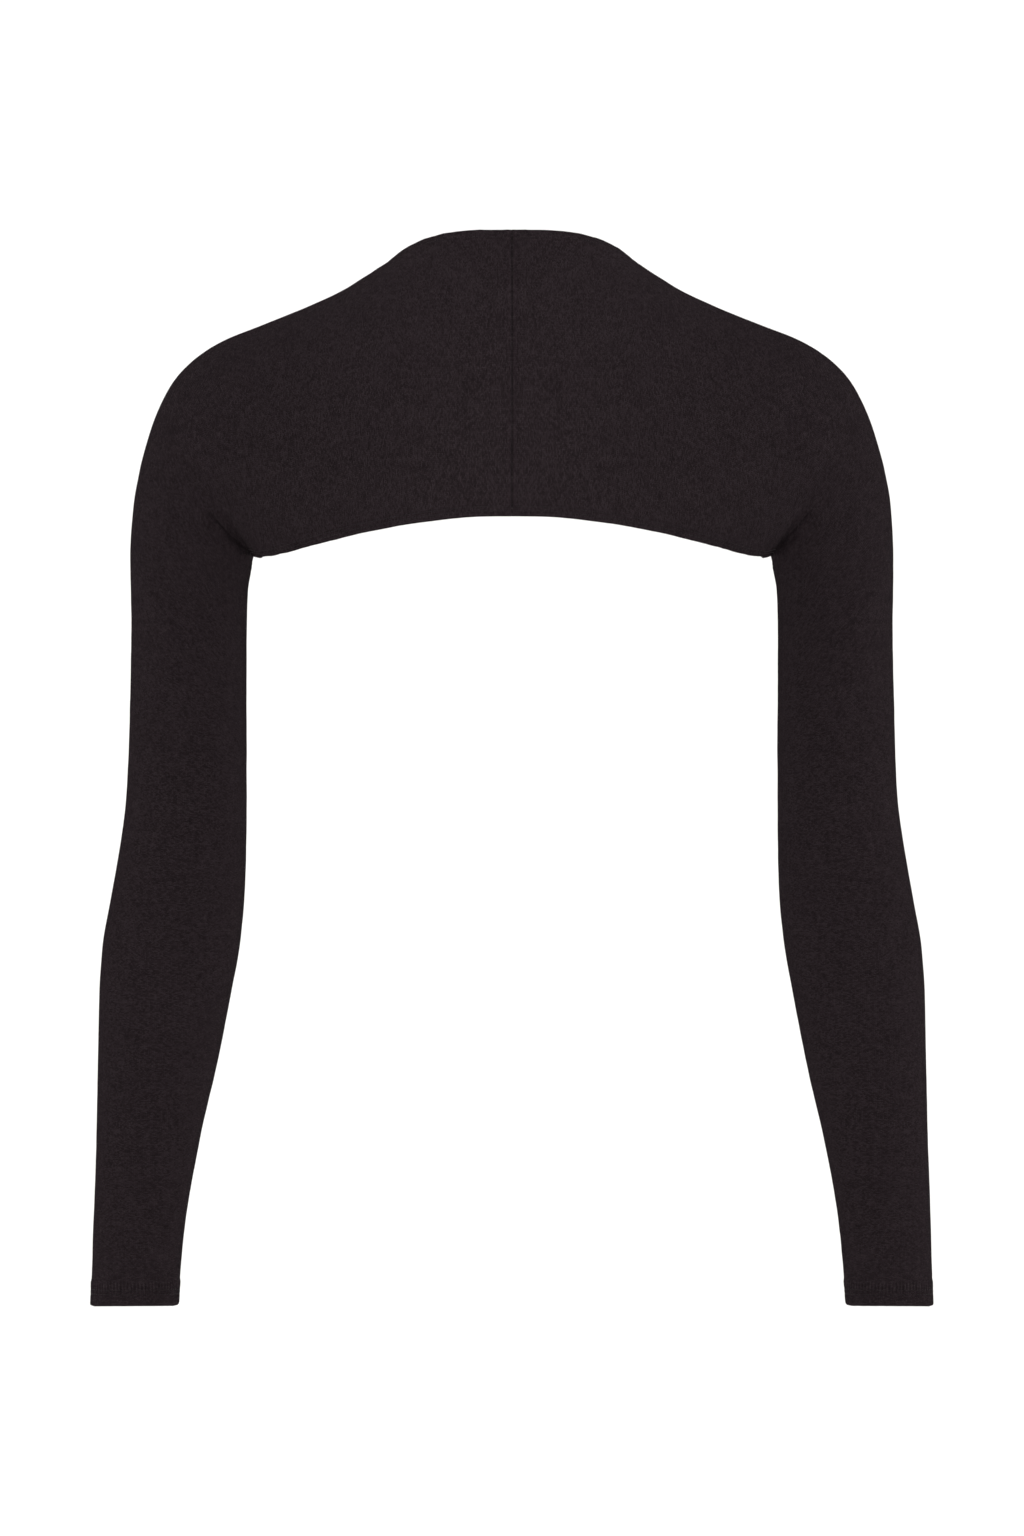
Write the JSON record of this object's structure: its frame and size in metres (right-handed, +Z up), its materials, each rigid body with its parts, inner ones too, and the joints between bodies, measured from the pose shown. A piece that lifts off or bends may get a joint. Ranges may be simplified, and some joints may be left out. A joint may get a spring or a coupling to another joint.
{
  "type": "knitted shrug",
  "caption": "Cropped open-front knit shrug with long narrow sleeves cut in one with the back, filled out as worn.",
  "frame": {"origin": "midway between the tops of the two shoulders that carry the shrug, on the plane between its halves", "axes": "+Z up along the hanging sleeves, +Y towards the back of the shrug, +X towards the wearer's left"},
  "size_m": [0.507, 0.1599, 0.6427],
  "materials": {
    "black_knit": "matte fine jersey knit"
  },
  "bodies": {
    "root": {"left_half": "black_knit", "right_half": "black_knit"}
  },
  "joints": []
}
